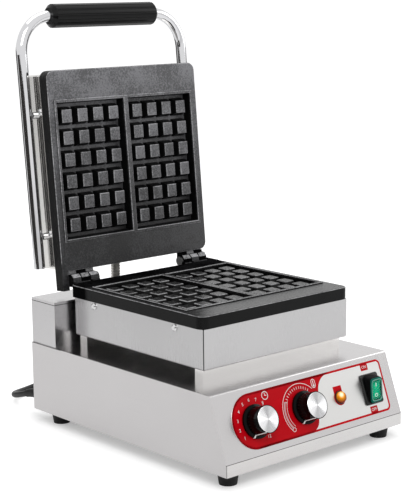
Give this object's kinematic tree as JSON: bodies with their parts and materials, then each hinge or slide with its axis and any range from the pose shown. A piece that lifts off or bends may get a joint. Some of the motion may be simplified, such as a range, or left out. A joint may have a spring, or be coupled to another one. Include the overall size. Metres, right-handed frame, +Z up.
{
  "type": "countertop waffle iron",
  "caption": "Countertop waffle iron with a stainless base, hinged cast waffle plates, tube handle, timer and thermostat knobs, pilot lamp and sealed rocker switch.",
  "frame": {"origin": "on the table under the middle of the machine's outline, mains lead left out", "axes": "+Z up, +X to the right of someone facing the control panel, +Y to the back"},
  "size_m": [0.279, 0.4507, 0.4531],
  "materials": {
    "stainless_sheet": "fine brushed and bright polished stainless sheet",
    "cast_plate": "dark seasoned casting, satin",
    "bright_tube": "polished tube",
    "grip_plastic": "fluted black moulding, satin",
    "foot_rubber": "matt black rubber",
    "steel_fastener": "bright steel",
    "conduit_metal": "ribbed metal conduit",
    "mineral_wool": "loose fibre",
    "panel_film": "printed film, gloss",
    "black_plastic": "black moulding, satin",
    "spun_cap": "spun face",
    "amber_lens": "clear tinted moulding",
    "green_rocker": "translucent green moulding",
    "clear_boot": "soft clear moulding",
    "ivory_plastic": "pale moulding",
    "plug_metal": "plated brass",
    "cord_jacket": "smooth black jacket",
    "tie_plastic": "soft strap"
  },
  "bodies": {
    "base": {"base_shell": "stainless_sheet", "base_pan": "stainless_sheet", "foot_front_left": "foot_rubber", "foot_front_right": "foot_rubber", "foot_rear_left": "foot_rubber", "foot_rear_right": "foot_rubber", "foot_screws": "steel_fastener", "neck_front": "stainless_sheet", "neck_rear": "stainless_sheet", "lower_housing": "stainless_sheet", "housing_screws": "steel_fastener", "lower_plate": "cast_plate", "lower_heater": "steel_fastener", "lower_heater_clamp": "steel_fastener", "lower_clamp_screws": "steel_fastener", "lower_wool": "mineral_wool", "thermostat_bulb": "steel_fastener", "rear_box": "stainless_sheet", "rear_box_cap": "stainless_sheet", "conduit_nut_lower": "steel_fastener", "wiring_conduit": "conduit_metal", "hinge_pin_left": "steel_fastener", "hinge_pin_right": "steel_fastener", "control_overlay": "panel_film", "timer": "black_plastic", "thermostat": "black_plastic", "bushing_nuts": "steel_fastener", "indicator_holder": "black_plastic", "indicator_lens": "amber_lens", "switch_frame": "black_plastic", "switch_boot": "clear_boot", "switch_blades": "plug_metal", "terminal_block": "ivory_plastic", "cord_gland": "foot_rubber", "cord_gland_nut": "steel_fastener", "cord_run": "cord_jacket", "cord_coil": "cord_jacket", "cord_tail": "cord_jacket", "cord_tie": "tie_plastic", "plug_body": "cord_jacket", "plug_pins": "plug_metal"},
    "lid": {"upper_plate": "cast_plate", "upper_cover": "stainless_sheet", "cover_screws": "steel_fastener", "upper_heater": "steel_fastener", "upper_heater_clamp": "steel_fastener", "upper_clamp_screws": "steel_fastener", "upper_wool": "mineral_wool", "handle_tube": "bright_tube", "handle_grip": "grip_plastic", "handle_spacers": "steel_fastener", "handle_screws": "steel_fastener", "conduit_nut_upper": "steel_fastener"},
    "timer_control": {"timer_shaft": "steel_fastener", "timer_knob": "black_plastic", "timer_knob_cap": "spun_cap"},
    "thermostat_control": {"thermostat_shaft": "steel_fastener", "thermostat_knob": "black_plastic", "thermostat_knob_cap": "spun_cap"},
    "rocker": {"switch_rocker": "green_rocker"}
  },
  "joints": [
    {"name": "lid_hinge", "type": "hinge", "parent": "base", "child": "lid", "pos_m": [0, 0.113, 0.1585], "axis": [1, 0, 0], "range_deg": [0, 95], "deforming": ["wiring_conduit"]},
    {"name": "timer_turn", "type": "hinge", "parent": "base", "child": "timer_control", "pos_m": [-0.077, -0.15912, 0.05646], "axis": [0, 0.9352, -0.354], "range_deg": [0, 293]},
    {"name": "thermostat_turn", "type": "hinge", "parent": "base", "child": "thermostat_control", "pos_m": [-0.0095, -0.15912, 0.05646], "axis": [0, 0.9352, -0.354], "range_deg": [0, 270]},
    {"name": "switch_tilt", "type": "hinge", "parent": "base", "child": "rocker", "pos_m": [0.0894, -0.15912, 0.05646], "axis": [-1, 0, 0], "range_deg": [0, 32], "deforming": ["switch_boot"]}
  ]
}
